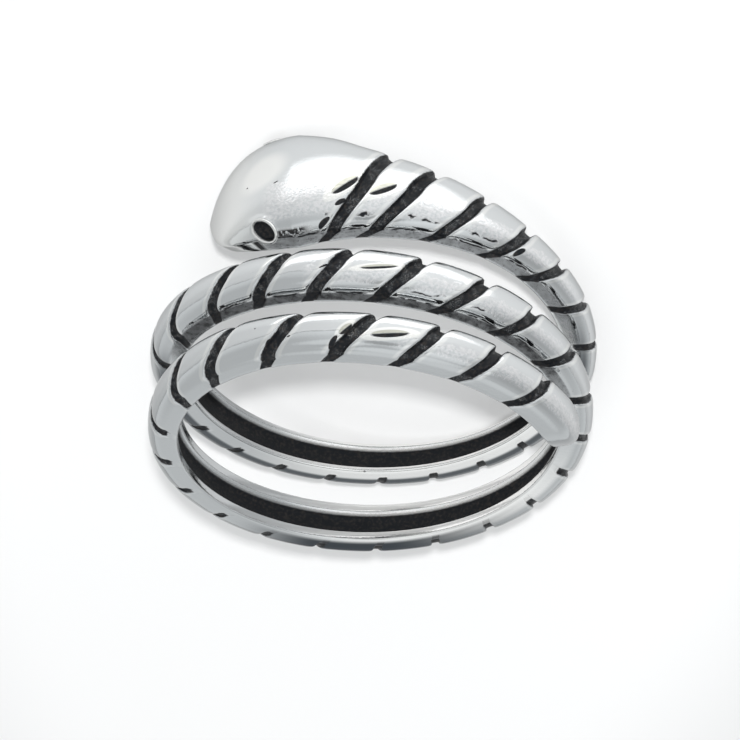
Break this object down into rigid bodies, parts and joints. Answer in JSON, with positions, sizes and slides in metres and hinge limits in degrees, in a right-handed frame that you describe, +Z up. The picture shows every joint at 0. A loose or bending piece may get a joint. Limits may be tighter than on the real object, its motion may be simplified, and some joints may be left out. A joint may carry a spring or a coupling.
{
  "type": "snake wrap ring",
  "caption": "Coiled snake ring in blackened silver, with a domed head, slanting grooves and a rounded tail.",
  "frame": {"origin": "on the floor, under the middle of the ring's bounding box, as it lies on its side", "axes": "+Z up from the floor, -Y towards the viewer, with the snout at the front right"},
  "size_m": [0.0206, 0.0214, 0.0122],
  "materials": {
    "silver": "polished"
  },
  "bodies": {
    "root": {"snake_ring": "silver"}
  },
  "joints": []
}
